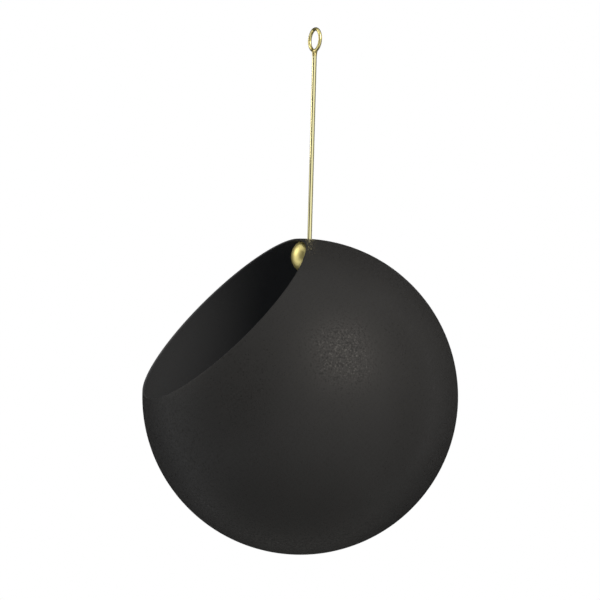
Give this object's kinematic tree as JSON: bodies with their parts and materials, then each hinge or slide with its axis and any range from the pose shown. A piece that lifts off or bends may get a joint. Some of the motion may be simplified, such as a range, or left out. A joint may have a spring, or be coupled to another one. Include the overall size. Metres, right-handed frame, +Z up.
{
  "type": "hanging planter",
  "caption": "Matte black globe planter with a slanted round mouth, hung from a slim brass rod that has a ring on top and a ball nut inside, on which the globe turns.",
  "frame": {"origin": "centre of the hanging ring's eye, where the hook carries the planter", "axes": "+Z up along the suspension rod, -Y towards the side that the globe's mouth faces at rest"},
  "size_m": [0.21, 0.2099, 0.3514],
  "materials": {
    "globe_coat": "matte black powder coat on spun steel",
    "polished_brass": "polished brass rod and ring",
    "brazing_brass": "brazing metal, filed and polished",
    "turned_brass": "satin turned brass",
    "nylon": "natural nylon"
  },
  "bodies": {
    "hanger": {"suspension_rod": "polished_brass", "hanging_ring": "polished_brass", "braze_neck": "brazing_brass", "ball_nut": "turned_brass"},
    "globe": {"globe_shell": "globe_coat", "seat_washer": "nylon"}
  },
  "joints": [
    {"name": "globe_swivel", "type": "hinge", "parent": "hanger", "child": "globe", "pos_m": [0, 0, -0.1351], "axis": [0, 0, 1], "continuous": true}
  ]
}
